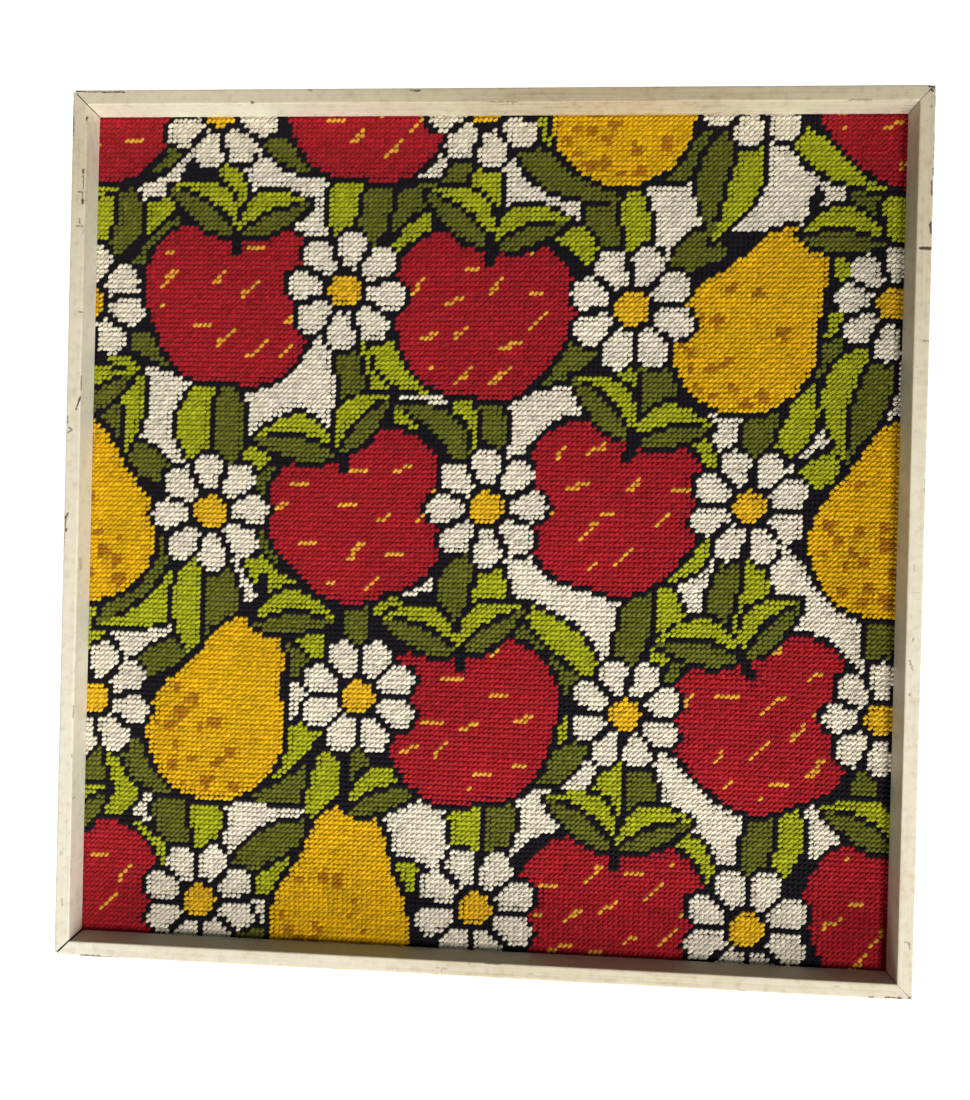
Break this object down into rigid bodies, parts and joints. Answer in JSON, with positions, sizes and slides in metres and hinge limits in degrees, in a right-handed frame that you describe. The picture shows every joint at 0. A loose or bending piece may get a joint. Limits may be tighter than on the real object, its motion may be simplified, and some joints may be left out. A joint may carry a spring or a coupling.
{
  "type": "framed needlepoint canvas panel",
  "caption": "Needlepoint canvas in tent stitch, held deep in the rebate of a narrow mitred wooden picture frame with ivory paint.",
  "frame": {"origin": "middle of the frame's back, where it touches the surface it lies on or the wall it hangs on", "axes": "+Z points out of the picture's face, +Y to the picture's top, +X to the picture's right seen from the front"},
  "size_m": [0.428, 0.442, 0.022],
  "materials": {
    "ivory_paint": "satin",
    "dyed_wool": "matte"
  },
  "bodies": {
    "root": {"rail_bottom": "ivory_paint", "rail_right": "ivory_paint", "rail_top": "ivory_paint", "rail_left": "ivory_paint", "needlepoint_canvas": "dyed_wool"}
  },
  "joints": []
}
